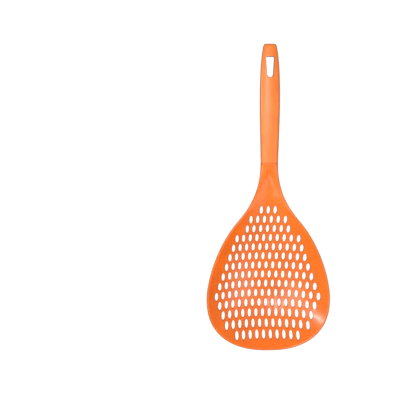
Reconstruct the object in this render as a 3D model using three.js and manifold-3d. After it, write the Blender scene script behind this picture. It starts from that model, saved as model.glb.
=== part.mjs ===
// A perforated hand scoop for sifting: a dished bowl with a flared neck, a tang that runs from the neck
// into a hollow handle, two handle shells that close round the tang, and two pins through the tang.
//
// Everything is drawn in the tool's own frame first. X runs across the scoop, Y runs from the bowl's
// widest station towards the handle's end, and Z points up out of the bowl from the plane of its rim.
// At the end the whole tool is tilted and lifted, so that it rests on its belly and its handle's end.
// All lengths are in millimetres and all angles in degrees.

import * as THREE from 'three';
import { mergeGeometries, mergeVertices } from 'three/addons/utils/BufferGeometryUtils.js';
import Module from 'manifold-3d';

// Bowl
const BOWL_HALF_WIDTH = 71;
const TIP_REACH = 60.3;
const TIP_FULLNESS = 2.35;
const BOWL_DEPTH = 34;
const BOWL_WALL = 2.2;
const RIM_LIP = 2;
const SECTION_FULLNESS = 2.3;
const INNER_RUN = 110;
const OUTER_RUN = 115;

// Neck
const NECK_START = 85;
const RIM_END = 75;
const JOINT = 156;
const NECK_HALF_WIDTH = 9.9;
const NECK_HALF_THICKNESS = 5;
const NECK_SHOULDER = 5.8;
const SHOULDER_START = 104;
const SHOULDER_FULL_AT = 124;
const HEAD_TAPER_START = 132;
const HEAD_TAPER = 1.8;
const CROWN_START = 120;
const TROUGH_FLOOR_END = 134;
const TROUGH_FLOOR_DEPTH = 1.2;
const TROUGH_FLOOR_SLOPE = -0.1;
const TROUGH_HEAD_END = 152;
const TROUGH_HEAD_RISE = 4;
const TROUGH_HEAD_SLOPE = -0.9;

// Perforations, counted in rows from the neck to the tip
const HOLES_PER_ROW = [3, 6, 7, 10, 11, 12, 13, 14, 15, 16, 15, 14, 13, 10];
const HOLE_PITCH = 7.9;
const ROW_PITCH = 11.29;
const LONGEST_ROW = 9;
const LONGEST_ROW_Y = 0.5;
const HOLE_HALF_WIDTH = 1.95;
const HOLE_HALF_LENGTH = 4.6;
const HOLE_SIDES = 8;

// Handle
const GRIP_HALF_WIDTH = 11.38;
const GRIP_WIDEST_AT = 226.8;
const GRIP_HALF_THICKNESS = 6;
const GRIP_THICKEST_AT = 220;
const END_START = 284.4;
const END_START_HALF_WIDTH = 8.12;
const END_START_HALF_THICKNESS = 4.2;
const HANDLE_END = 289.7;
const END_HALF_WIDTH = 5.2;
const END_THICKNESS_SHARE = 0.45;
const PARTING_AT_JOINT = -1.5;
const PARTING_SLOPE_AT_JOINT = Math.tan(THREE.MathUtils.degToRad(3.5));
const HANDLE_ARCH_RADIUS = 924;
const SHELL_WALL = 1.8;
const CAVITY_END = 271;
const FIT_GAP = 0.3;

// Hanging slot in the handle's end
const SLOT_TOP = 275.4;
const SLOT_BOTTOM = 252.5;
const SLOT_TOP_HALF_WIDTH = 4.8;
const SLOT_BOTTOM_HALF_WIDTH = 3.8;
const SLOT_CORNER = 1.4;

// Tang, its spigot and the pins through it
const TANG_HALF_WIDTH = 5;
const TANG_HALF_THICKNESS = 2;
const TANG_START = 150;
const TANG_END = 236;
const SPIGOT_END = 162;
const PIN_STATIONS = { tang_pin_front: 176, tang_pin_rear: 222 };
const PIN_RADIUS = 2;
const PIN_HALF_LENGTH = 3.7;
const BOSS_RADIUS = 4;

// Rest on a level surface
const REST_TILT = 5.97;

// Reach of cutting bodies beyond what they cut
const CLEAR = 30;
const EDGE_CLEAR = 0.4;

// Resolution of the curved surfaces
const SECTION_SIDES = 24;
const HANDLE_SIDES = 24;
const ROUND_SIDES = 16;
const ARCH_STEPS = 20;

const wasm = await Module();
wasm.setup();

// ---------------------------------------------------------------- helpers

function smooth(start, end, y) {
  return THREE.MathUtils.smoothstep(y, start, end);
}

// A cubic from one station, value and slope to another.
function blend(y, from, to) {
  const run = to.y - from.y;
  const t = (y - from.y) / run;
  const rest = 1 - t;
  const near = from.value * (1 + 2 * t) * rest * rest + from.slope * run * t * rest * rest;
  const far = to.value * (3 - 2 * t) * t * t - to.slope * run * rest * t * t;
  return near + far;
}

function merged(geometry) {
  const bare = geometry.index ? geometry.clone() : mergeVertices(geometry);
  bare.deleteAttribute('normal');
  bare.deleteAttribute('uv');
  return mergeVertices(bare);
}

function solid(geometry) {
  const { position } = geometry.attributes;
  return new wasm.Manifold(new wasm.Mesh({
    numProp: 3,
    vertProperties: new Float32Array(position.array),
    triVerts: new Uint32Array(geometry.index.array),
  }));
}

function geometryOf(body) {
  const mesh = body.getMesh();
  const geometry = new THREE.BufferGeometry();
  geometry.setAttribute('position', new THREE.BufferAttribute(mesh.vertProperties, mesh.numProp));
  geometry.setIndex(new THREE.BufferAttribute(mesh.triVerts, 1));
  geometry.computeVertexNormals();
  return geometry;
}

// A closed body through a list of stations along Y. The first and the last station close to a point
// or a flat end. section(station, turn) gives the x and z of the ring at each turn about Y.
function loft(stations, sides, section) {
  const rows = stations.length + 1;
  const geometry = merged(new THREE.SphereGeometry(1, sides, rows));
  const { position } = geometry.attributes;
  const unit = new THREE.Vector3();
  for (let i = 0; i < position.count; i += 1) {
    unit.fromBufferAttribute(position, i);
    const row = Math.round((rows * Math.acos(-unit.y)) / Math.PI);
    const isPole = row === 0 || row === rows;
    const station = stations[THREE.MathUtils.clamp(row - 1, 0, stations.length - 1)];
    if (isPole) {
      const middle = station.pole ?? { y: station.y, z: partingHeight(station.y) };
      position.setXYZ(i, 0, middle.y, middle.z);
    } else {
      const [x, z] = section(station, Math.atan2(unit.z, unit.x));
      position.setXYZ(i, x, station.y, z);
    }
  }
  return solid(geometry);
}

function extruded(outline, bottom, top) {
  const geometry = new THREE.ExtrudeGeometry(outline, { depth: top - bottom, bevelEnabled: false });
  geometry.translate(0, 0, bottom);
  return merged(geometry);
}

// ---------------------------------------------------------------- shape of the tool

// Height of the widest line of each section: the rim of the bowl, then the handle's middle.
function partingHeight(y) {
  if (y <= RIM_END) {
    return 0;
  }
  const joint = { y: JOINT, value: PARTING_AT_JOINT, slope: PARTING_SLOPE_AT_JOINT };
  if (y < JOINT) {
    return blend(y, { y: RIM_END, value: 0, slope: 0 }, joint);
  }
  const run = y - JOINT;
  return joint.value + joint.slope * run - (run * run) / (2 * HANDLE_ARCH_RADIUS);
}

// Depth along the middle of the bowl: one parabola to the tip and one to the neck.
function dish(y, depth, tipReach, neckRun) {
  const share = y < 0 ? y / tipReach : y / neckRun;
  return depth * (1 - share * share);
}

function dishSlope(y, depth, neckRun) {
  return (-2 * depth * y) / (neckRun * neckRun);
}

// Depth of the underside below the parting line, as far as the joint.
function keel(y) {
  const depth = BOWL_DEPTH + BOWL_WALL;
  if (y <= NECK_START) {
    return dish(y, depth, TIP_REACH, OUTER_RUN);
  }
  const value = dish(NECK_START, depth, TIP_REACH, OUTER_RUN);
  const slope = dishSlope(NECK_START, depth, OUTER_RUN);
  return blend(y, { y: NECK_START, value, slope }, { y: JOINT, value: NECK_HALF_THICKNESS, slope: 0 });
}

// Depth of the inside below the parting line: the bowl, the neck's trough and the trough's steep head.
function troughFloor(y) {
  const tipReach = TIP_REACH - RIM_LIP;
  if (y <= NECK_START) {
    return dish(y, BOWL_DEPTH, tipReach, INNER_RUN);
  }
  const value = dish(NECK_START, BOWL_DEPTH, tipReach, INNER_RUN);
  const slope = dishSlope(NECK_START, BOWL_DEPTH, INNER_RUN);
  const floorEnd = { y: TROUGH_FLOOR_END, value: TROUGH_FLOOR_DEPTH, slope: TROUGH_FLOOR_SLOPE };
  if (y <= TROUGH_FLOOR_END) {
    return blend(y, { y: NECK_START, value, slope }, floorEnd);
  }
  const headEnd = { y: TROUGH_HEAD_END, value: -TROUGH_HEAD_RISE, slope: TROUGH_HEAD_SLOPE };
  return blend(Math.min(y, TROUGH_HEAD_END), floorEnd, headEnd);
}

// Height of the upper side above the parting line: nothing at the bowl's rim, a full crown at the joint.
function crown(y) {
  const share = THREE.MathUtils.clamp((y - CROWN_START) / (JOINT - CROWN_START), 0, 1);
  return NECK_HALF_THICKNESS * share * share;
}

function halfThickness(y) {
  const joint = { y: JOINT, value: NECK_HALF_THICKNESS, slope: 0 };
  const thickest = { y: GRIP_THICKEST_AT, value: GRIP_HALF_THICKNESS, slope: 0 };
  const end = { y: END_START, value: END_START_HALF_THICKNESS, slope: -0.04 };
  return y < GRIP_THICKEST_AT ? blend(y, joint, thickest) : blend(y, thickest, end);
}

// Half of the outline seen from above, from the tip of the bowl to the joint.
function bowlOutline() {
  const point = (x, y) => new THREE.Vector2(x, y);
  const widest = point(BOWL_HALF_WIDTH, 0);
  const inflection = point(37.6, 87);
  const joint = point(NECK_HALF_WIDTH, JOINT - FIT_GAP / 2);
  const shoulder = new THREE.CubicBezierCurve(widest, point(71, 18.7), point(61.4, 57.5), inflection);
  const flare = new THREE.CubicBezierCurve(inflection, point(27.5, 99.5), point(9.9, 118), joint);
  const tipSteps = 8;
  const tip = Array.from({ length: tipSteps }, (_, step) => {
    const turn = (Math.PI / 2) * ((step + 0.6) / (tipSteps + 0.6));
    const power = 2 / TIP_FULLNESS;
    return point(BOWL_HALF_WIDTH * Math.sin(turn) ** power, -TIP_REACH * Math.cos(turn) ** power);
  });
  return [...tip, ...shoulder.getSpacedPoints(6), ...flare.getSpacedPoints(8).slice(1)];
}

// Width of the rim, and of the neck's shoulders beside the trough.
function rimWidth(y) {
  const width = THREE.MathUtils.lerp(RIM_LIP, NECK_SHOULDER, smooth(SHOULDER_START, SHOULDER_FULL_AT, y));
  return width + HEAD_TAPER * smooth(HEAD_TAPER_START, TROUGH_HEAD_END, y);
}

// The bowl's outline moved inwards, square to itself, by the width of the rim at each station.
function mouthOutline() {
  const outline = bowlOutline();
  const tip = new THREE.Vector2(0, -TIP_REACH);
  const tangent = new THREE.Vector2();
  return outline.map((point, i) => {
    const before = outline[i - 1] ?? tip;
    const after = outline[i + 1] ?? point;
    tangent.subVectors(after, before).normalize();
    const rim = rimWidth(point.y);
    return new THREE.Vector2(point.x - rim * tangent.y, point.y + rim * tangent.x);
  });
}

// Half of the handle's outline, from the joint to the flat end.
function handleOutline() {
  const point = (x, y) => new THREE.Vector2(x, y);
  const joint = point(NECK_HALF_WIDTH, JOINT + FIT_GAP / 2);
  const widest = point(GRIP_HALF_WIDTH, GRIP_WIDEST_AT);
  const endStart = point(END_START_HALF_WIDTH, END_START);
  const swell = new THREE.CubicBezierCurve(joint, point(9.9, 165.4), point(11.38, 205), widest);
  const taper = new THREE.CubicBezierCurve(widest, point(11.38, 250), point(10.6, 270.7), endStart);
  const corner = new THREE.QuadraticBezierCurve(
    endStart,
    point(7.6, HANDLE_END),
    point(END_HALF_WIDTH, HANDLE_END),
  );
  return [
    ...swell.getSpacedPoints(8),
    ...taper.getSpacedPoints(8).slice(1),
    ...corner.getPoints(4).slice(1),
  ];
}

function superellipse(turn, halfWidth, halfHeight) {
  const power = 2 / SECTION_FULLNESS;
  const x = Math.sign(Math.cos(turn)) * Math.abs(Math.cos(turn)) ** power;
  const z = Math.sign(Math.sin(turn)) * Math.abs(Math.sin(turn)) ** power;
  return [halfWidth * x, halfHeight * z];
}

// ---------------------------------------------------------------- bowl, neck and tang

// Outside of the bowl and neck, filled: a flat or crowned top over the dished underside.
function bowlOutside() {
  const stations = bowlOutline().map(({ x, y }) => ({ y, half: x }));
  stations[0].pole = { y: -TIP_REACH, z: 0 };
  return loft(stations, SECTION_SIDES, ({ y, half }, turn) => {
    const [x, unitHeight] = superellipse(turn, half, 1);
    const level = partingHeight(y);
    if (unitHeight >= 0) {
      return [x, level + crown(y) * unitHeight];
    }
    const fullness = Math.abs(x / half) ** SECTION_FULLNESS;
    const openness = THREE.MathUtils.lerp(1, 1 / SECTION_FULLNESS, smooth(NECK_START, JOINT, y));
    return [x, level - keel(y) * Math.max(0, 1 - fullness) ** openness];
  });
}

// What the mould's core leaves empty: the bowl's inside and the neck's trough, open upwards.
function bowlInside() {
  const stations = mouthOutline().map(({ x, y }) => ({ y, half: x }));
  stations[0].pole = { y: -TIP_REACH + RIM_LIP, z: 0 };
  return loft(stations, SECTION_SIDES, ({ y, half }, turn) => {
    const [x, unitHeight] = superellipse(turn, half, 1);
    const level = partingHeight(y);
    const floor = troughFloor(y);
    if (unitHeight > 0) {
      return [x, level + crown(y) + EDGE_CLEAR + CLEAR * unitHeight];
    }
    const share = Math.min(1, Math.abs(x / half)) ** SECTION_FULLNESS;
    return [x, level - floor + (floor + crown(y) + EDGE_CLEAR) * share];
  });
}

function perforations() {
  const holes = HOLES_PER_ROW.flatMap((count, row) => {
    const y = LONGEST_ROW_Y + (LONGEST_ROW - row) * ROW_PITCH;
    return Array.from({ length: count }, (_, i) => {
      const x = (i - (count - 1) / 2) * HOLE_PITCH;
      const outline = Array.from({ length: HOLE_SIDES }, (__, side) => {
        const turn = (2 * Math.PI * (side + 0.5)) / HOLE_SIDES;
        return new THREE.Vector2(
          x + HOLE_HALF_WIDTH * Math.cos(turn),
          y + HOLE_HALF_LENGTH * Math.sin(turn),
        );
      });
      return extruded(new THREE.Shape(outline), -BOWL_DEPTH - CLEAR, CLEAR);
    });
  });
  return solid(mergeGeometries(holes));
}

// A block from one station to another that follows the arch of the parting line, between two heights
// measured from that line.
function archedBlock(start, end, halfWidth, bottom, top) {
  const length = end - start;
  const geometry = new THREE.BoxGeometry(2 * halfWidth, length, top - bottom, 1, ARCH_STEPS, 1);
  geometry.translate(0, start + length / 2, (bottom + top) / 2);
  const { position } = geometry.attributes;
  for (let i = 0; i < position.count; i += 1) {
    position.setZ(i, position.getZ(i) + partingHeight(position.getY(i)));
  }
  return solid(merged(geometry));
}

function uprightCylinder(radius, y, bottom, top) {
  const geometry = new THREE.CylinderGeometry(radius, radius, top - bottom, ROUND_SIDES);
  geometry.rotateX(Math.PI / 2);
  geometry.translate(0, y, (bottom + top) / 2);
  return solid(merged(geometry));
}

// Plug on the neck's end that fills the mouth of the handle shells.
function spigot() {
  const inset = SHELL_WALL + FIT_GAP;
  const stations = [TANG_START, SPIGOT_END].map((y) => ({ y }));
  return loft(stations, HANDLE_SIDES, ({ y }, turn) => {
    const [x, z] = superellipse(turn, NECK_HALF_WIDTH - inset, NECK_HALF_THICKNESS - inset);
    return [x, z + partingHeight(y)];
  });
}

function scoopBowl() {
  const tang = archedBlock(
    TANG_START,
    TANG_END,
    TANG_HALF_WIDTH,
    -TANG_HALF_THICKNESS,
    TANG_HALF_THICKNESS,
  );
  let body = bowlOutside().subtract(bowlInside()).subtract(perforations());
  body = body.add(spigot()).add(tang);
  for (const y of Object.values(PIN_STATIONS)) {
    body = body.subtract(uprightCylinder(PIN_RADIUS + FIT_GAP, y, -CLEAR, CLEAR));
  }
  return body;
}

// ---------------------------------------------------------------- handle

function handleStations() {
  return handleOutline().map(({ x, y }) => {
    const inEnd = y > END_START;
    const half = inEnd
      ? END_START_HALF_THICKNESS - END_THICKNESS_SHARE * (END_START_HALF_WIDTH - x)
      : halfThickness(y);
    return { y, half: x, thickness: half };
  });
}

function handleBody(stations, inset) {
  return loft(stations, HANDLE_SIDES, ({ y, half, thickness }, turn) => {
    const [x, z] = superellipse(turn, half - inset, thickness - inset);
    return [x, z + partingHeight(y)];
  });
}

// The hanging slot from above: a flat top wall with small corners, tapering to a round bottom.
function slotOutline(grow) {
  const topHalf = SLOT_TOP_HALF_WIDTH + grow;
  const bottomHalf = SLOT_BOTTOM_HALF_WIDTH + grow;
  const top = SLOT_TOP + grow;
  const bottomCentre = SLOT_BOTTOM + SLOT_BOTTOM_HALF_WIDTH;
  const outline = new THREE.Shape();
  outline.moveTo(bottomHalf, bottomCentre);
  outline.lineTo(topHalf, top - SLOT_CORNER);
  outline.lineTo(topHalf - 0.3 * SLOT_CORNER, top - 0.3 * SLOT_CORNER);
  outline.lineTo(topHalf - SLOT_CORNER, top);
  outline.lineTo(SLOT_CORNER - topHalf, top);
  outline.lineTo(0.3 * SLOT_CORNER - topHalf, top - 0.3 * SLOT_CORNER);
  outline.lineTo(-topHalf, top - SLOT_CORNER);
  outline.lineTo(-bottomHalf, bottomCentre);
  const steps = 6;
  for (let step = 1; step < steps; step += 1) {
    const turn = Math.PI + (Math.PI * step) / steps;
    outline.lineTo(bottomHalf * Math.cos(turn), bottomCentre + bottomHalf * Math.sin(turn));
  }
  return outline;
}

// Everything on one side of the parting line, less half of the fit gap.
function sideOfParting(side) {
  const near = (side * FIT_GAP) / 2;
  const far = side * CLEAR;
  return archedBlock(JOINT - 10, HANDLE_END + 10, CLEAR, Math.min(near, far), Math.max(near, far));
}

// Hollow handle, still in one: outer body less its cavity, with a sleeve round the hanging slot.
function hollowHandle() {
  const stations = handleStations();
  const mouth = { ...stations[0], y: JOINT - 5 };
  const cavityStations = [mouth, ...stations.filter(({ y }) => y < CAVITY_END)];
  const sleeve = solid(extruded(slotOutline(SHELL_WALL), -CLEAR, CLEAR));
  const slot = solid(extruded(slotOutline(0), -CLEAR, CLEAR));
  const cavity = handleBody(cavityStations, SHELL_WALL).subtract(sleeve);
  return handleBody(stations, 0).subtract(cavity).subtract(slot);
}

// One handle shell. Its bosses reach from the skin to just short of the tang and hold the pins' ends.
function handleShell(side) {
  const skin = handleBody(handleStations(), SHELL_WALL / 2);
  let shell = hollowHandle();
  for (const y of Object.values(PIN_STATIONS)) {
    const boss = pinward(BOSS_RADIUS, y, side, TANG_HALF_THICKNESS + FIT_GAP, CLEAR);
    const bore = pinward(PIN_RADIUS + FIT_GAP, y, side, 0, PIN_HALF_LENGTH + FIT_GAP);
    shell = shell.add(boss.intersect(skin)).subtract(bore);
  }
  return shell.intersect(sideOfParting(side));
}

// A cylinder on a pin's axis, between two distances from the parting line on one side of it.
function pinward(radius, y, side, near, far) {
  const level = partingHeight(y);
  const ends = [level + side * near, level + side * far];
  return uprightCylinder(radius, y, Math.min(...ends), Math.max(...ends));
}

function tangPin(y) {
  const level = partingHeight(y);
  return uprightCylinder(PIN_RADIUS, y, level - PIN_HALF_LENGTH, level + PIN_HALF_LENGTH);
}

// ---------------------------------------------------------------- assembly

const bowlPlastic = new THREE.MeshStandardMaterial({ color: 0xf9631a, roughness: 0.35, metalness: 0 });
const handlePlastic = new THREE.MeshStandardMaterial({ color: 0xfb7a35, roughness: 0.4, metalness: 0 });
const pinPlastic = new THREE.MeshStandardMaterial({ color: 0xe8e4dc, roughness: 0.5, metalness: 0 });

function named(name, geometry, material) {
  const mesh = new THREE.Mesh(geometry, material);
  mesh.name = name;
  return mesh;
}

// The lift that sets the handle's end on the ground once the tool is tilted.
function groundUnder(geometry, tilt) {
  const tilted = geometry.clone().rotateX(tilt);
  tilted.computeBoundingBox();
  return -tilted.boundingBox.min.z;
}

const tilt = -THREE.MathUtils.degToRad(REST_TILT);
const backShell = geometryOf(handleShell(-1));
const lift = groundUnder(backShell, tilt);

// The bowl's belly is flattened where it would reach below the ground.
const groundBlock = new THREE.BoxGeometry(400, 600, 40).translate(0, 0, -lift - 20).rotateX(-tilt);
const bowl = geometryOf(scoopBowl().subtract(solid(merged(groundBlock))));

const scoop = new THREE.Group();
scoop.add(named('scoop_bowl', bowl, bowlPlastic));
scoop.add(named('handle_front_shell', geometryOf(handleShell(1)), handlePlastic));
scoop.add(named('handle_back_shell', backShell, handlePlastic));
for (const [name, y] of Object.entries(PIN_STATIONS)) {
  scoop.add(named(name, geometryOf(tangPin(y)), pinPlastic));
}
scoop.rotation.x = tilt;
scoop.position.z = lift;

// The origin goes on the ground under the middle of the tool's length.
scoop.updateMatrixWorld(true);
const box = new THREE.Box3().setFromObject(scoop, true);
scoop.position.y = -(box.min.y + box.max.y) / 2;

const group = new THREE.Group();
group.add(scoop);

export default group;
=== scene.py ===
"""The looks of the perforated hand scoop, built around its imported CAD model.

The shapes are worked out in the tool's own frame, in millimetres, as in the CAD: X across the scoop,
Y from the bowl's widest station towards the handle's end, Z up out of the bowl from its rim's plane.
place() then sets them in the row frame, in metres. Each moulding is a plan of points and faces in X
and Y, drawn twice, as its upper and its lower side, with walls along its edges.
"""

import math

import bpy
import numpy as np
from mathutils import Matrix, Vector, kdtree
from mathutils.geometry import delaunay_2d_cdt


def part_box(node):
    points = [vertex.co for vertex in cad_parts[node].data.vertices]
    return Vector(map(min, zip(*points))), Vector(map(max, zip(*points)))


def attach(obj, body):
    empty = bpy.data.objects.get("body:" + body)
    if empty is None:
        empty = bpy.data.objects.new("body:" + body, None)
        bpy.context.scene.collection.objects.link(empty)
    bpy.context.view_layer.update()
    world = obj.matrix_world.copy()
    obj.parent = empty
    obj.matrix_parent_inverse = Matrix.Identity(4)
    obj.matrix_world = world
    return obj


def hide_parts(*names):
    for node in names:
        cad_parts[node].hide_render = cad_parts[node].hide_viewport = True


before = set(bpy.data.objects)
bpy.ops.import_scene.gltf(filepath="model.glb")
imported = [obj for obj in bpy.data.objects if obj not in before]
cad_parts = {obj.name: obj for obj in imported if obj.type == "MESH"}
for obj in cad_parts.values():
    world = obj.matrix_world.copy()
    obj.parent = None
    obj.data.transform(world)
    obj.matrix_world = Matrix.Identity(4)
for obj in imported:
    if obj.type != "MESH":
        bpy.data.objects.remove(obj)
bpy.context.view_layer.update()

# Bowl and neck, in millimetres
BOWL_HALF_WIDTH = 71.0
SHOULDER_PULLS = ((71.0, 18.7), (61.4, 57.5))
INFLECTION = (37.6, 87.0)
FLARE_PULLS = ((27.5, 99.5), (9.9, 118.0))
TIP_REACH = 60.3
TIP_FULLNESS = 2.35
BOWL_DEPTH = 34.0
BOWL_WALL = 2.2
RIM_LIP = 2.0
FULLNESS = 2.3
INNER_RUN = 110.0
OUTER_RUN = 115.0
NECK_START = 85.0
RIM_END = 75.0
JOINT = 156.0
NECK_HALF_WIDTH = 9.9
NECK_HALF_THICKNESS = 5.0
NECK_SHOULDER = 5.8
CROWN_START = 120.0
SHOULDER_START = 104.0
SHOULDER_FULL_AT = 124.0
HEAD_TAPER_START = 132.0
HEAD_TAPER = 1.8
SHOULDER_FULLNESS = 4.5
TROUGH_FLOOR_END = 134.0
TROUGH_FLOOR_DEPTH = 1.2
TROUGH_FLOOR_SLOPE = -0.1
TROUGH_HEAD_END = 152.0
TROUGH_HEAD_RISE = 4.0
TROUGH_HEAD_SLOPE = -0.9
TROUGH_HEAD_FULLNESS = 1.7
TROUGH_HEAD_NARROWED_AT = 140.0
LIP_THICKNESS = 1.7
LIP_BLEND = 0.8
NECK_LIP_THICKNESS = 0.15
NECK_LIP_BLEND = 0.1

# Perforations, in rows from the neck to the tip
HOLES_PER_ROW = (3, 6, 7, 10, 11, 12, 13, 14, 15, 16, 15, 14, 13, 10)
HOLE_PITCH = 7.9
ROW_PITCH = 11.29
LONGEST_ROW = 9
LONGEST_ROW_Y = 0.5
HOLE_HALF_WIDTH = 1.95
HOLE_HALF_LENGTH = 4.6
HOLE_SIDES = 28

# Handle
SWELL_PULLS = ((9.9, 165.4), (11.38, 205.0))
TAPER_PULLS = ((11.38, 250.0), (10.6, 270.7))
GRIP_HALF_WIDTH = 11.38
GRIP_WIDEST_AT = 226.8
GRIP_HALF_THICKNESS = 6.0
GRIP_THICKEST_AT = 220.0
END_START = 284.4
END_START_HALF_WIDTH = 8.12
END_START_HALF_THICKNESS = 4.2
END_START_SLOPE = -0.04
HANDLE_END = 289.7
END_HALF_WIDTH = 5.2
END_CORNER_PULL = (7.6, HANDLE_END)
END_THICKNESS_SHARE = 0.45
PARTING_AT_JOINT = -1.5
PARTING_SLOPE_AT_JOINT = math.tan(math.radians(3.5))
HANDLE_ARCH_RADIUS = 924.0
SHELL_WALL = 1.8
CAVITY_END = HANDLE_END - 6.0
CAVITY_ROUNDING = 2.5
SLOT_TOP = 275.4
SLOT_BOTTOM = 252.5
SLOT_TOP_HALF_WIDTH = 4.8
SLOT_BOTTOM_HALF_WIDTH = 3.8
SLOT_CORNER = 1.4

# Tang inside the handle
TANG_HALF_WIDTH = 5.0
TANG_HALF_THICKNESS = 2.0
TANG_END = 236.0
PIN_FRONT_AT = 176.0
PIN_REAR_AT = 222.0
PIN_HOLE_RADIUS = 2.2

# Fine edges
HOLE_ROUNDING = 0.4
LIP_ROUNDING = 0.6
NECK_EDGE_ROUNDING = 0.05
MOUTH_ROUNDING = 0.8
NECK_SOFTNESS = 3.0
NECK_SOFTENS = (98, 112)
NECK_HARDENS = (120, 138)
SLOT_ROUNDING = 0.5
END_ROUNDING = 1.2
TANG_ROUNDING = 0.6
TANG_HOLE_ROUNDING = 0.3
SEAM = 0.06
THINNEST_SKIN = 0.12
# Painted shade: how far from the outline and from the edges of the holes and slot the colour darkens,
# and how strongly. This stands in for the shade on their walls.
EDGE_SHADE_REACH = 1.9
HOLE_SHADE_REACH = 0.9
EDGE_SHADE_STRENGTH = 0.85

# Mesh spacing. Each grid is its pitch across, its pitch along and its clearance from fixed lines.
BOWL_OUTLINE_STEP = 1.3
HANDLE_OUTLINE_STEP = 1.1
TANG_OUTLINE_STEP = 1.0
END_LINE_STEP = 0.6
BOWL_EDGE_STRIP = 0.7
HANDLE_EDGE_STRIP = 3.0
TANG_EDGE_STRIP = 0.8
LINES_AT_MOUTH = (-0.42, -0.26, -0.12, 0, 0.12, 0.26, 0.42, 0.6, 0.9, 1.3)
LINES_START_BEFORE_MOUTH = 0.6
BOWL_GRID = (HOLE_PITCH / 5, ROW_PITCH / 8, 0.8)
NECK_GRID = (0.6, 0.5, 0.35)
NECK_GRID_START = 108
HANDLE_GRID = (0.9, 1.1, 0.55)
TANG_GRID = (1.2, 1.2, 0.6)


# ------------------------------------------------------------------ small curves

def smooth(start, end, y):
    t = np.clip((y - start) / (end - start), 0, 1)
    return t * t * (3 - 2 * t)


def cubic(y, start, end):
    """A cubic from one (station, value, slope) to another."""
    run = end[0] - start[0]
    t = (y - start[0]) / run
    rest = 1 - t
    near = start[1] * (1 + 2 * t) * rest * rest + start[2] * run * t * rest * rest
    far = end[1] * (3 - 2 * t) * t * t - end[2] * run * rest * t * t
    return near + far


def soft_max(a, b, reach):
    """The larger of a and b, with the corner between them rounded over reach."""
    overlap = np.clip(reach - np.abs(a - b), 0, None) / np.maximum(reach, 1e-9)
    return np.maximum(a, b) + overlap * overlap * reach / 4


def soft_min(a, b, reach):
    return -soft_max(-a, -b, reach)


def bezier(points, steps):
    """Points on a Bezier curve of any degree."""
    points = np.array(points, float)
    degree = len(points) - 1
    t = np.linspace(0, 1, steps + 1)[:, None]
    return sum(
        math.comb(degree, i) * (1 - t) ** (degree - i) * t**i * points[i] for i in range(degree + 1)
    )


def evenly(points, spacing):
    """The same line with points at an even spacing."""
    along = np.concatenate([[0], np.cumsum(np.linalg.norm(np.diff(points, axis=0), axis=1))])
    stations = np.linspace(0, along[-1], max(2, round(along[-1] / spacing)) + 1)
    return np.column_stack([np.interp(stations, along, points[:, i]) for i in range(2)])


def mirrored(half):
    """A half outline that ends on the middle line, carried on over to the other side."""
    return np.vstack([half, (half * (-1, 1))[-2::-1]])


# ------------------------------------------------------------------ shape of the tool

def level(y):
    """Height of the widest line of each section: the bowl's rim, then the handle's middle."""
    joint = (JOINT, PARTING_AT_JOINT, PARTING_SLOPE_AT_JOINT)
    run = y - JOINT
    arch = PARTING_AT_JOINT + PARTING_SLOPE_AT_JOINT * run - run * run / (2 * HANDLE_ARCH_RADIUS)
    neck = cubic(y, (RIM_END, 0, 0), joint)
    return np.where(y <= RIM_END, 0, np.where(y < JOINT, neck, arch))


def dish(y, depth, tip_reach, neck_run):
    return depth * (1 - np.where(y < 0, y / tip_reach, y / neck_run) ** 2)


def dish_slope(y, depth, neck_run):
    return -2 * depth * y / neck_run**2


def keel(y):
    """Depth of the underside below the parting line."""
    depth = BOWL_DEPTH + BOWL_WALL
    start_depth = dish(NECK_START, depth, TIP_REACH, OUTER_RUN)
    start = (NECK_START, start_depth, dish_slope(NECK_START, depth, OUTER_RUN))
    neck = cubic(y, start, (JOINT, NECK_HALF_THICKNESS, 0))
    return np.where(y <= NECK_START, dish(y, depth, TIP_REACH, OUTER_RUN), neck)


def trough_floor(y):
    """Depth of the inside below the parting line: bowl, neck trough and the trough's steep head."""
    tip_reach = TIP_REACH - RIM_LIP
    start = (
        NECK_START,
        dish(NECK_START, BOWL_DEPTH, tip_reach, INNER_RUN),
        dish_slope(NECK_START, BOWL_DEPTH, INNER_RUN),
    )
    floor_end = (TROUGH_FLOOR_END, TROUGH_FLOOR_DEPTH, TROUGH_FLOOR_SLOPE)
    head_end = (TROUGH_HEAD_END, -TROUGH_HEAD_RISE, TROUGH_HEAD_SLOPE)
    neck = cubic(y, start, floor_end)
    head = cubic(np.minimum(y, TROUGH_HEAD_END), floor_end, head_end)
    bowl = dish(y, BOWL_DEPTH, tip_reach, INNER_RUN)
    return np.where(y <= NECK_START, bowl, np.where(y <= TROUGH_FLOOR_END, neck, head))


def crown(y):
    return NECK_HALF_THICKNESS * np.clip((y - CROWN_START) / (JOINT - CROWN_START), 0, 1) ** 2


def half_thickness(y):
    joint = (JOINT, NECK_HALF_THICKNESS, 0)
    thickest = (GRIP_THICKEST_AT, GRIP_HALF_THICKNESS, 0)
    end = (END_START, END_START_HALF_THICKNESS, END_START_SLOPE)
    return np.where(y < GRIP_THICKEST_AT, cubic(y, joint, thickest), cubic(y, thickest, end))


def rim_width(y):
    """Width of the rim, and of the neck's shoulders beside the trough."""
    width = RIM_LIP + (NECK_SHOULDER - RIM_LIP) * smooth(SHOULDER_START, SHOULDER_FULL_AT, y)
    return width + HEAD_TAPER * smooth(HEAD_TAPER_START, TROUGH_HEAD_END, y)


def bowl_half_outline():
    """From the joint down to the tip."""
    turn = np.linspace(math.pi / 2, 0, 300)
    power = 2 / TIP_FULLNESS
    tip = np.column_stack([BOWL_HALF_WIDTH * np.sin(turn) ** power, -TIP_REACH * np.cos(turn) ** power])
    shoulder = bezier([(BOWL_HALF_WIDTH, 0), *SHOULDER_PULLS, INFLECTION], 200)
    flare = bezier([INFLECTION, *FLARE_PULLS, (NECK_HALF_WIDTH, JOINT)], 200)
    return np.vstack([flare[::-1], shoulder[-2::-1], tip[1:]])


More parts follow.
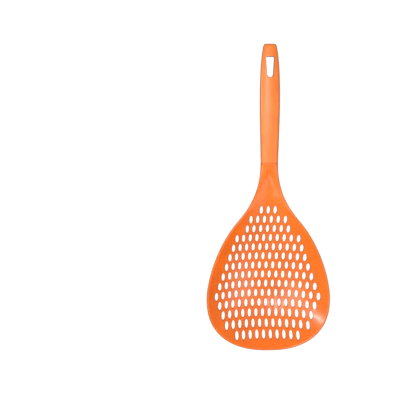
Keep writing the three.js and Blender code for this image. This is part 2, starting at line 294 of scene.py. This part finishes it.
def handle_half_outline():
    """From the joint up to the middle of the flat end."""
    widest = (GRIP_HALF_WIDTH, GRIP_WIDEST_AT)
    end_start = (END_START_HALF_WIDTH, END_START)
    swell = bezier([(NECK_HALF_WIDTH, JOINT), *SWELL_PULLS, widest], 200)
    taper = bezier([widest, *TAPER_PULLS, end_start], 200)
    corner = bezier([end_start, END_CORNER_PULL, (END_HALF_WIDTH, HANDLE_END)], 40)
    return np.vstack([swell, taper[1:], corner[1:], [(0, HANDLE_END)]])


def inward_normals(outline):
    """Unit normals of an outline that runs anticlockwise."""
    tangent = np.gradient(outline, axis=0)
    tangent /= np.linalg.norm(tangent, axis=1)[:, None]
    return np.column_stack([-tangent[:, 1], tangent[:, 0]])


def width_along(half_outline):
    """A function that gives the half width at each station."""
    order = np.argsort(half_outline[:, 1])
    stations = half_outline[order, 1]
    widths = half_outline[order, 0]
    return lambda y: np.interp(y, stations, widths)


BOWL_HALF = bowl_half_outline()
HANDLE_HALF = handle_half_outline()[:-1]
bowl_width = width_along(BOWL_HALF)
handle_width = width_along(HANDLE_HALF)
mouth_line = BOWL_HALF - inward_normals(BOWL_HALF) * rim_width(BOWL_HALF[:, 1])[:, None]
mouth_width = width_along(np.clip(mouth_line, (0, -np.inf), np.inf))


def way_out(x, half):
    """How far out a point lies, from 0 on the middle line to 1 at the edge."""
    return np.clip(np.abs(x) / np.maximum(half, 1e-6), 0, 1)


def section(x, half, power=1 / FULLNESS):
    """Height, from 1 on the middle line to 0 at the edge, of a superelliptic section."""
    return (1 - way_out(x, half) ** FULLNESS) ** power


def crown_share(x, y):
    """Section of the upper side, squarer on the neck's shoulders than in the handle."""
    on_neck = smooth(CROWN_START, HEAD_TAPER_START, y) * (1 - smooth(HEAD_TAPER_START, JOINT, y))
    fullness = FULLNESS + (SHOULDER_FULLNESS - FULLNESS) * on_neck
    return (1 - way_out(x, bowl_width(y)) ** fullness) ** (1 / fullness)


def shoulder_height(x, y):
    return level(y) + crown(y) * crown_share(x, y)


def inside_height(x, y):
    """The bowl's inside and the trough's, which go on upwards beyond the mouth's edge."""
    mouth = mouth_width(y)
    edge = crown(y) * crown_share(mouth, y)
    narrowed = smooth(SHOULDER_START, TROUGH_HEAD_NARROWED_AT, y)
    fullness = FULLNESS + (TROUGH_HEAD_FULLNESS - FULLNESS) * narrowed
    share = (np.abs(x) / np.maximum(mouth, 1e-6)) ** fullness
    rise = -trough_floor(y) - edge
    return level(y) + edge + np.where(rise < 0, rise * (1 - share), rise)


def underside_height(x, y):
    openness = 1 + (1 / FULLNESS - 1) * smooth(NECK_START, JOINT, y)
    depth = keel(y) * section(x, bowl_width(y), openness)
    in_neck = smooth(NECK_START, SHOULDER_FULL_AT, y)
    lip = LIP_THICKNESS * (1 - in_neck) + NECK_LIP_THICKNESS * in_neck
    return level(y) - soft_max(depth, lip, LIP_BLEND * (1 - in_neck) + NECK_LIP_BLEND)


def rounding(distance, radius):
    """How far a rounded edge has fallen, at a distance inward from that edge."""
    reach = np.clip(radius - distance, 0, radius)
    return radius - np.sqrt(np.maximum(radius**2 - reach**2, 0))


# ------------------------------------------------------------------ plans and mouldings

# Distance of a point that no edge is near
FAR = 1e3


def tree_of(points):
    """A search tree for the nearest of some points in X and Y."""
    tree = kdtree.KDTree(len(points))
    for i, point in enumerate(points):
        tree.insert((*point, 0), i)
    tree.balance()
    return tree


class Plan:
    """Points and faces in X and Y. Each point near the outline or a hole knows its distance from it, and
    the station of the outline that it belongs to."""

    def __init__(self, outline, inward, distances, holes, hole_steps, grid):
        self.points = []
        self.faces = []
        self.count = 0
        index = self.add_strip(outline, inward, distances)
        first_hole = self.count
        loops = [self.boundary, *self.add_holes(holes, hole_steps)]
        after_holes = self.count
        self.add_free_points(loops, grid)
        self.points = np.vstack(self.points)

        stations, rings = index.shape
        self.edge_distance = np.full(self.count, FAR)
        self.edge_distance[: index.size] = distances.reshape(-1)
        self.station = np.full(self.count, -1)
        self.station[: index.size] = np.repeat(np.arange(stations), rings)
        sides = len(self.hole_loops[0])
        self.hole_distance = np.full(self.count, FAR)
        self.hole_distance[first_hole:after_holes] = np.tile(np.repeat(hole_steps, sides), len(holes))

    def add_strip(self, outline, inward, distances):
        """Lines along the outline, and an end line that closes the plan between their two ends."""
        strip = outline[:, None, :] + inward[:, None, :] * distances[:, :, None]
        index = self.add_points(strip.reshape(-1, 2)).reshape(distances.shape)
        self.outline = index[:, 0]
        self.add_quads(index[:-1, :-1], index[1:, :-1], index[1:, 1:], index[:-1, 1:])
        inner_right = strip[-1, -1]
        inner_left = strip[0, -1]
        steps = max(2, round(np.linalg.norm(inner_left - inner_right) / END_LINE_STEP))
        share = np.linspace(0, 1, steps + 1)[1:-1, None]
        end_line = self.add_points(inner_right * (1 - share) + inner_left * share)
        self.end = np.concatenate([index[-1], end_line, index[0, ::-1]])
        self.boundary = np.concatenate([index[:, -1], end_line])
        return index

    def add_holes(self, holes, hole_steps):
        """Rings round each hole, from its rounded edge's outer line to its wall."""
        self.hole_loops = []
        outer_loops = []
        for hole in holes:
            rings = [self.add_points(hole(step)) for step in hole_steps]
            for outer, inner in zip(rings, rings[1:]):
                self.add_quads(outer, np.roll(outer, -1), np.roll(inner, -1), inner)
            outer_loops.append(rings[0][::-1])
            self.hole_loops.append(rings[-1])
        return outer_loops

    def add_free_points(self, loops, grid):
        """Points and triangles that fill what is left, clear of the loops."""
        fixed = np.vstack(self.points)
        used = np.concatenate(loops)
        tree = tree_of(fixed[used])
        free = np.array([p for p, clearance in grid if tree.find((*p, 0))[2] > clearance])
        edges = np.vstack([np.column_stack([loop, np.roll(loop, -1)]) for loop in loops])
        free = free[odd_crossings(free, fixed[edges[:, 0]], fixed[edges[:, 1]])]
        last = self.add_points(free)
        self.fill(np.vstack(self.points), np.concatenate([used, last]), edges)

    def add_points(self, points):
        indices = np.arange(self.count, self.count + len(points))
        self.points.append(points)
        self.count += len(points)
        return indices

    def add_quads(self, a, b, c, d):
        self.faces.extend(np.stack([a, b, c, d], axis=-1).reshape(-1, 4).tolist())

    def fill(self, points, used, edges):
        """Triangles between the lines: those whose middle lies inside an odd number of loops."""
        local = {int(i): n for n, i in enumerate(used)}
        pairs = [(local[int(a)], local[int(b)]) for a, b in edges]
        result = delaunay_2d_cdt([Vector(points[i]) for i in used], pairs, [], 0, 1e-6, True)
        origin = np.array([used[ids[0]] for ids in result[3]])
        triangles = origin[np.array(result[2])]
        a, b, c = points[triangles].transpose(1, 2, 0)
        turn = (b[0] - a[0]) * (c[1] - a[1]) - (b[1] - a[1]) * (c[0] - a[0])
        triangles[turn < 0] = triangles[turn < 0][:, [0, 2, 1]]
        inside = odd_crossings((a + b + c).T / 3, points[edges[:, 0]], points[edges[:, 1]])
        self.faces.extend(triangles[inside & (np.abs(turn) > 1e-9)].tolist())


def odd_crossings(points, starts, ends):
    """Whether a line from each point to the right crosses an odd number of the edges."""
    odd = np.zeros(len(points), bool)
    run = np.where(ends[:, 1] == starts[:, 1], 1, ends[:, 1] - starts[:, 1])
    lean = (ends[:, 0] - starts[:, 0]) / run
    for i, (x, y) in enumerate(points):
        spans = (starts[:, 1] > y) != (ends[:, 1] > y)
        crossing = starts[spans, 0] + (y - starts[spans, 1]) * lean[spans]
        odd[i] = np.count_nonzero(crossing > x) % 2
    return odd


def moulding(name, plan, top, bottom, material):
    """A closed mesh from a plan and the heights of its two sides."""
    n = plan.count
    faces = [list(f) for f in plan.faces]
    faces += [[i + n for i in reversed(f)] for f in plan.faces]
    for start, end in zip(plan.outline, plan.outline[1:]):
        faces.append([start, start + n, end + n, end])
    for loop in plan.hole_loops:
        for start, end in zip(loop, np.roll(loop, -1)):
            faces.append([start, end, end + n, start + n])
    faces.append([i + n for i in plan.end] + list(plan.end[::-1]))
    upper = np.column_stack([plan.points, top])
    lower = np.column_stack([plan.points, bottom])
    points = place(np.vstack([upper, lower]))
    points[:, 2] = np.maximum(points[:, 2], 0)
    mesh = bpy.data.meshes.new(name)
    mesh.from_pydata(points.tolist(), [], [[int(i) for i in f] for f in faces])
    mesh.validate()
    mesh.shade_smooth()
    # Painted shade: each point within reach of the outline or a hole's edge gets a darkening weight, for
    # the shade on the walls there
    near_edge = np.maximum(1 - plan.edge_distance / EDGE_SHADE_REACH, 1 - plan.hole_distance / HOLE_SHADE_REACH)
    edge_shade = mesh.attributes.new("edge_shade", "FLOAT", "POINT")
    edge_shade.data.foreach_set("value", np.tile(near_edge.clip(0, 1), 2))
    piece = bpy.data.objects.new(name, mesh)
    bpy.context.scene.collection.objects.link(piece)
    mesh.materials.append(material)
    return piece


# ------------------------------------------------------------------ from the tool's frame to the row's

def node_centre(name):
    low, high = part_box(name)
    return (low + high) / 2


def tool_to_row():
    """The pins' middles lie on the parting line, which gives the tool's tilt and place."""
    ends = []
    for pin, y in (("tang_pin_front", PIN_FRONT_AT), ("tang_pin_rear", PIN_REAR_AT)):
        ends.append((Vector((0, y, float(level(y)))) / 1000, node_centre(pin)))
    drawn = ends[1][0] - ends[0][0]
    real = ends[1][1] - ends[0][1]
    tilt = math.atan2(real.z, real.y) - math.atan2(drawn.z, drawn.y)
    turn = Matrix.Rotation(tilt, 4, "X")
    shift = ends[0][1] - turn @ ends[0][0]
    return Matrix.Translation(shift) @ turn


TOOL_TO_ROW = tool_to_row()


def place(points):
    """Points in the tool's frame, in millimetres, to the row frame, in metres."""
    matrix = np.array(TOOL_TO_ROW)
    return points / 1000 @ matrix[:3, :3].T + matrix[:3, 3]


# ------------------------------------------------------------------ materials

# In metres
RIPPLE_HEIGHT = 0.00012
GRAIN_HEIGHT = 0.00002


def node(tree, kind, **inputs):
    made = tree.nodes.new(kind)
    for key, value in inputs.items():
        made.inputs[key.replace("_", " ")].default_value = value
    return made


def moulded_plastic(name, colour, painted_edge_colour, roughness):
    """Moulded plastic: uneven colour and gloss, a fine grain, slow ripples, and painted shade at edges
    and rims.
    """
    material = bpy.data.materials.new(name)
    material.use_nodes = True
    tree = material.node_tree
    link = tree.links.new
    shader = tree.nodes["Principled BSDF"]
    shader.inputs["IOR"].default_value = 1.5
    shader.inputs["Subsurface Weight"].default_value = 0.12
    shader.inputs["Subsurface Radius"].default_value = (1.0, 0.3, 0.1)
    shader.inputs["Subsurface Scale"].default_value = 0.003

    place_node = node(tree, "ShaderNodeTexCoord")
    cloud = node(tree, "ShaderNodeTexNoise", Scale=45.0, Detail=3.0, Roughness=0.55)
    speck = node(tree, "ShaderNodeTexNoise", Scale=900.0, Detail=2.0, Roughness=0.6)
    ripple = node(tree, "ShaderNodeTexNoise", Scale=70.0, Detail=1.0, Roughness=0.4)
    for texture in (cloud, speck, ripple):
        link(place_node.outputs["Object"], texture.inputs["Vector"])

    shade = tree.nodes.new("ShaderNodeValToRGB")
    shade.color_ramp.elements[0].position = 0.3
    shade.color_ramp.elements[0].color = (*[c * 0.9 for c in colour], 1)
    shade.color_ramp.elements[1].position = 0.7
    shade.color_ramp.elements[1].color = (*[min(1, c * 1.08) for c in colour], 1)
    link(cloud.outputs["Fac"], shade.inputs["Fac"])

    # Painted shade: the colour darkens towards the second colour at sharp edges, by Pointiness, and
    # along the outline and hole rims, by the point attribute set in moulding(), for the shade on their
    # walls
    geometry = node(tree, "ShaderNodeNewGeometry")
    edge = tree.nodes.new("ShaderNodeMapRange")
    edge.inputs["From Min"].default_value = 0.515
    edge.inputs["From Max"].default_value = 0.58
    edge.inputs["To Max"].default_value = 0.2
    link(geometry.outputs["Pointiness"], edge.inputs["Value"])
    shade_attribute = tree.nodes.new("ShaderNodeAttribute")
    shade_attribute.attribute_name = "edge_shade"
    edge_shade = tree.nodes.new("ShaderNodeMath")
    edge_shade.operation = "MULTIPLY_ADD"
    edge_shade.use_clamp = True
    edge_shade.inputs[1].default_value = EDGE_SHADE_STRENGTH
    link(shade_attribute.outputs["Fac"], edge_shade.inputs[0])
    link(edge.outputs["Result"], edge_shade.inputs[2])
    # Mixes in the painted edge colour by that weight
    edge_shading_mix = tree.nodes.new("ShaderNodeMix")
    edge_shading_mix.data_type = "RGBA"
    edge_shading_mix.inputs["B"].default_value = (*painted_edge_colour, 1)
    link(edge_shade.outputs["Value"], edge_shading_mix.inputs["Factor"])
    link(shade.outputs["Color"], edge_shading_mix.inputs["A"])
    link(edge_shading_mix.outputs["Result"], shader.inputs["Base Color"])

    gloss = tree.nodes.new("ShaderNodeMapRange")
    gloss.inputs["To Min"].default_value = roughness - 0.07
    gloss.inputs["To Max"].default_value = roughness + 0.09
    link(speck.outputs["Fac"], gloss.inputs["Value"])
    link(gloss.outputs["Result"], shader.inputs["Roughness"])

    slow = node(tree, "ShaderNodeBump", Strength=0.5, Distance=RIPPLE_HEIGHT)
    fine = node(tree, "ShaderNodeBump", Strength=0.5, Distance=GRAIN_HEIGHT)
    link(ripple.outputs["Fac"], slow.inputs["Height"])
    link(speck.outputs["Fac"], fine.inputs["Height"])
    link(slow.outputs["Normal"], fine.inputs["Normal"])
    link(fine.outputs["Normal"], shader.inputs["Normal"])
    return material


# The second colour of each plastic is what its edges and hole rims are painted: for the bowl and handle
# a darker painted shade
BOWL_PLASTIC = moulded_plastic("bowl_plastic", (0.93, 0.175, 0.012), (0.34, 0.12, 0.03), 0.26)
HANDLE_PLASTIC = moulded_plastic("handle_plastic", (0.94, 0.205, 0.022), (0.36, 0.15, 0.05), 0.36)
# The pins' second colour is lighter than their own, so their sharp edges are painted lighter
PIN_PLASTIC = moulded_plastic("pin_plastic", (0.8, 0.78, 0.72), (0.9, 0.89, 0.86), 0.5)


# ------------------------------------------------------------------ bowl

def oval_hole(x, y):
    """An oval, anticlockwise, grown by a distance."""
    turn = 2 * math.pi * np.arange(HOLE_SIDES) / HOLE_SIDES

    def ring(grow):
        return np.column_stack([
            x + (HOLE_HALF_WIDTH + grow) * np.cos(turn),
            y + (HOLE_HALF_LENGTH + grow) * np.sin(turn),
        ])

    return ring


def perforations():
    holes = []
    for row, count in enumerate(HOLES_PER_ROW):
        y = LONGEST_ROW_Y + (LONGEST_ROW - row) * ROW_PITCH
        holes += [oval_hole((i - (count - 1) / 2) * HOLE_PITCH, y) for i in range(count)]
    return holes


def edge_steps(radius, count, power):
    """Distances from an edge, close together at the edge and out to radius."""
    return radius * (np.arange(count + 1) / count) ** power


def staggered(grid, start, end, half_width):
    """Points in staggered rows, each with the clearance that it needs from fixed lines."""
    x_pitch, y_pitch, clearance = grid
    points = []
    for row in range(math.ceil((end - start) / y_pitch)):
        y = start + row * y_pitch
        half = float(half_width(y))
        reach = math.floor(half / x_pitch)
        offset = x_pitch / 2 if row % 2 else 0
        for i in range(-reach - 1, reach + 1):
            x = i * x_pitch + offset
            if abs(x) < half:
                points.append(((x, y), clearance))
    return points


def bowl_plan(outline, inward, rim):
    at_edge = edge_steps(BOWL_EDGE_STRIP, 8, 2.6)[None, :].repeat(len(outline), axis=0)
    to_mouth = rim - BOWL_EDGE_STRIP - LINES_START_BEFORE_MOUTH
    across = BOWL_EDGE_STRIP + to_mouth * np.arange(1, 9) / 8
    distances = np.hstack([at_edge, across, rim + np.array(LINES_AT_MOUTH)])
    inner_line = outline + inward * distances[:, -1:]
    right = inner_line[inner_line[:, 0] >= 0]
    inner_width = width_along(right)
    grid = staggered(BOWL_GRID, right[:, 1].min(), NECK_GRID_START, inner_width)
    grid += staggered(NECK_GRID, NECK_GRID_START, JOINT - 0.3, inner_width)
    hole_steps = HOLE_ROUNDING * (1 - np.arange(5) / 4) ** 1.8
    return Plan(outline, inward, distances, perforations(), hole_steps, grid)


def inside_beyond_mouth(plan, outline, inward, rim):
    """Heights of the inside, which outside the mouth's edge goes straight on at its slope there."""
    inside = inside_height(*plan.points.T)
    reach = 0.4
    edge = outline + inward * rim
    edge_height = inside_height(*edge.T)
    slope = np.maximum(edge_height - inside_height(*(edge + inward * reach).T), 0) / reach
    beyond = (plan.station >= 0) & (plan.edge_distance < rim[plan.station, 0])
    at = plan.station[beyond]
    inside[beyond] = edge_height[at] + slope[at] * (rim[at, 0] - plan.edge_distance[beyond])
    return inside


def bowl_piece():
    outline = mirrored(evenly(BOWL_HALF, BOWL_OUTLINE_STEP))[::-1]
    inward = inward_normals(outline)
    rim = rim_width(outline[:, 1])[:, None]
    plan = bowl_plan(outline, inward, rim)
    x, y = plan.points.T
    in_neck = smooth(NECK_START, SHOULDER_FULL_AT, y)
    edge_rounding = LIP_ROUNDING * (1 - in_neck) + NECK_EDGE_ROUNDING * in_neck
    soft_neck = smooth(*NECK_SOFTENS, y) * (1 - smooth(*NECK_HARDENS, y))
    softness = MOUTH_ROUNDING + NECK_SOFTNESS * soft_neck
    inside = inside_beyond_mouth(plan, outline, inward, rim)
    fall = rounding(plan.hole_distance, HOLE_ROUNDING) + rounding(plan.edge_distance, edge_rounding)
    top = soft_min(shoulder_height(x, y), inside, softness) - fall
    bottom = underside_height(x, y) + fall
    return moulding("bowl_moulding", plan, top, bottom, BOWL_PLASTIC)


# ------------------------------------------------------------------ handle

def slot_ring(grow):
    """The hanging slot, anticlockwise: a round bottom, sides that lean out and a flat top."""
    low_half = SLOT_BOTTOM_HALF_WIDTH + grow
    high_half = SLOT_TOP_HALF_WIDTH + grow
    top = SLOT_TOP + grow
    radius = SLOT_CORNER + grow
    centre = SLOT_BOTTOM + SLOT_BOTTOM_HALF_WIDTH
    low = np.linspace(math.pi, 2 * math.pi, 19)
    bottom = np.column_stack([low_half * np.cos(low), centre + low_half * np.sin(low)])
    share = np.linspace(0, 1, 14)[1:-1, None]
    corner_start = np.array([(high_half, top - radius)])
    side = bottom[-1] * (1 - share) + corner_start * share
    turn = np.linspace(0, math.pi / 2, 7)
    corner = corner_start + radius * np.column_stack([np.cos(turn) - 1, np.sin(turn)])
    right = np.vstack([side, corner])
    flat = np.linspace(corner[-1, 0], -corner[-1, 0], 7)[1:-1]
    flat = np.column_stack([flat, np.full(len(flat), top)])
    return np.vstack([bottom, right, flat, (right * (-1, 1))[::-1]])


def handle_plan():
    outline = mirrored(evenly(handle_half_outline(), HANDLE_OUTLINE_STEP))
    spine = np.column_stack([np.zeros(len(outline)), np.minimum(outline[:, 1], SLOT_TOP + 4)])
    normals = inward_normals(outline)
    ray = spine - outline
    inward = ray / (ray * normals).sum(axis=1)[:, None]
    distances = edge_steps(HANDLE_EDGE_STRIP, 14, 3.0)[None, :].repeat(len(outline), axis=0)
    inner = outline + inward * distances[:, -1:]
    right = inner[inner[:, 0] >= 0]
    inner_width = width_along(right)
    grid = staggered(HANDLE_GRID, JOINT + 0.8, right[:, 1].max() - 0.4, inner_width)
    hole_steps = SLOT_ROUNDING * np.array([1, 0.6, 0.33, 0.14, 0.03, 0])
    return Plan(outline, inward, distances, [slot_ring], hole_steps, grid)


def handle_skin(plan):
    """Half thickness of the handle at each point."""
    x, y = plan.points.T
    half = handle_width(y)
    end = END_START_HALF_THICKNESS - END_THICKNESS_SHARE * (END_START_HALF_WIDTH - half)
    skin = np.where(y > END_START, end, half_thickness(y)) * section(x, half)
    end_rounding = END_ROUNDING * smooth(END_START, HANDLE_END - 0.5, y)
    skin -= np.minimum(rounding(plan.edge_distance, end_rounding), skin)
    skin -= rounding(plan.hole_distance, SLOT_ROUNDING)
    return np.maximum(skin, THINNEST_SKIN)


def handle_cavity(plan, skin):
    """Half height of the hollow, which keeps the shell's wall along the edge and round the slot."""
    x, y = plan.points.T
    tree = tree_of(slot_ring(0))
    from_slot = np.array([tree.find((*point, 0))[2] for point in plan.points])
    from_side = handle_width(y) - np.abs(x)
    into = np.minimum(np.minimum(from_side, from_slot), CAVITY_END - y) - SHELL_WALL
    return np.sqrt(np.clip(into / CAVITY_ROUNDING, 0, 1)) * np.maximum(skin - SHELL_WALL - SEAM, 0)


def handle_pieces():
    plan = handle_plan()
    middle = level(plan.points[:, 1])
    skin = handle_skin(plan)
    hollow = handle_cavity(plan, skin)
    above = (middle + SEAM + skin, middle + SEAM + hollow)
    below = (middle - SEAM - hollow, middle - SEAM - skin)
    return [
        moulding("handle_front", plan, *above, HANDLE_PLASTIC),
        moulding("handle_back", plan, *below, HANDLE_PLASTIC),
    ]


# ------------------------------------------------------------------ tang inside the handle

def round_hole(y):
    turn = 2 * math.pi * np.arange(24) / 24
    circle = np.column_stack([np.cos(turn), np.sin(turn)])
    return lambda grow: (PIN_HOLE_RADIUS + grow) * circle + (0, y)


def tang_piece():
    half = bezier([(TANG_HALF_WIDTH, JOINT + 1), (TANG_HALF_WIDTH, TANG_END - 5)], 40)
    corner = bezier([half[-1], (TANG_HALF_WIDTH, TANG_END), (0, TANG_END)], 20)
    outline = mirrored(evenly(np.vstack([half, corner[1:]]), TANG_OUTLINE_STEP))
    inward = inward_normals(outline)
    distances = edge_steps(TANG_EDGE_STRIP, 5, 2)[None, :].repeat(len(outline), axis=0)
    inner_width = width_along((outline + inward * TANG_EDGE_STRIP)[: len(outline) // 2 + 1])
    grid = staggered(TANG_GRID, JOINT + 2, TANG_END - 1.4, inner_width)
    holes = [round_hole(PIN_FRONT_AT), round_hole(PIN_REAR_AT)]
    hole_steps = TANG_HOLE_ROUNDING * np.array([1, 0.5, 0.15, 0])
    plan = Plan(outline, inward, distances, holes, hole_steps, grid)
    fall = rounding(plan.edge_distance, TANG_ROUNDING) + rounding(plan.hole_distance, TANG_HOLE_ROUNDING)
    half_thick = TANG_HALF_THICKNESS - fall
    middle = level(plan.points[:, 1])
    return moulding("bowl_tang", plan, middle + half_thick, middle - half_thick, BOWL_PLASTIC)


# ------------------------------------------------------------------ assembly

bowl = bowl_piece()
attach(bowl, "root")
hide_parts("scoop_bowl")

tang = tang_piece()
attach(tang, "root")

front, back = handle_pieces()
for shell, name in ((front, "handle_front_shell"), (back, "handle_back_shell")):
    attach(shell, "root")
    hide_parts(name)

for name in ("tang_pin_front", "tang_pin_rear"):
    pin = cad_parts[name]
    pin.data.materials.clear()
    pin.data.materials.append(PIN_PLASTIC)


# ------------------------------------------------------------------ floor, light and camera

# In metres, degrees and millimetres of lens
CAMERA_PLACE = (-0.09618, 0.19884, 0.99156)
CAMERA_TURN = (-11.628, -1.033, 0.07)
CAMERA_LENS = 78.376
FLOOR_HALF = 1.6
FLOOR_DROP = 0.0003


def floor():
    mesh = bpy.data.meshes.new("floor")
    sides = [(-1, -1), (1, -1), (1, 1), (-1, 1)]
    points = [(x * FLOOR_HALF, y * FLOOR_HALF, -FLOOR_DROP) for x, y in sides]
    mesh.from_pydata(points, [], [(0, 1, 2, 3)])
    plane = bpy.data.objects.new("floor", mesh)
    bpy.context.scene.collection.objects.link(plane)
    material = bpy.data.materials.new("pale_floor")
    material.use_nodes = True
    shader = material.node_tree.nodes["Principled BSDF"]
    shader.inputs["Base Color"].default_value = (0.2, 0.2, 0.2, 1)
    shader.inputs["Roughness"].default_value = 0.9
    shader.inputs["Specular IOR Level"].default_value = 0.0
    shader.inputs["Emission Color"].default_value = (1, 1, 1, 1)
    shader.inputs["Emission Strength"].default_value = 0.9
    mesh.materials.append(material)
    plane.visible_diffuse = False
    plane.visible_glossy = False


def softbox(name, place_at, target, size, watts):
    data = bpy.data.lights.new(name, "AREA")
    data.shape = "RECTANGLE"
    data.size, data.size_y = size
    data.energy = watts
    lamp = bpy.data.objects.new(name, data)
    lamp.location = place_at
    lamp.rotation_euler = (Vector(target) - Vector(place_at)).to_track_quat("-Z", "Y").to_euler()
    bpy.context.scene.collection.objects.link(lamp)


def studio():
    world = bpy.data.worlds.new("studio")
    bpy.context.scene.world = world
    world.use_nodes = True
    background = world.node_tree.nodes["Background"]
    background.inputs["Color"].default_value = (1, 1, 1, 1)
    background.inputs["Strength"].default_value = 0.32
    softbox("key", (-0.75, 0.0, 1.0), (0, 0, 0.02), (0.8, 0.8), 5.7)
    softbox("glint", (-1.09, 0.23, 0.35), (0.06, -0.14, 0.03), (0.08, 0.11), 3.2)
    softbox("fill", (0.9, -0.2, 0.95), (0, -0.05, 0.02), (1.0, 1.0), 5.3)
    softbox("top", (-0.2, 0.38, 1.4), (0, 0.1, 0.02), (0.4, 0.5), 9.0)
    softbox("front", (0.05, -1.1, 0.55), (0, 0.02, 0.02), (0.3, 0.15), 0.6)


def camera():
    """A long lens above the scoop, leaning towards the handle."""
    data = bpy.data.cameras.new("camera")
    data.lens = CAMERA_LENS
    data.sensor_width = 36
    viewer = bpy.data.objects.new("camera", data)
    viewer.location = CAMERA_PLACE
    viewer.rotation_euler = [math.radians(a) for a in CAMERA_TURN]
    bpy.context.scene.collection.objects.link(viewer)
    bpy.context.scene.camera = viewer


floor()
studio()
camera()
bpy.context.scene.view_settings.view_transform = "Standard"
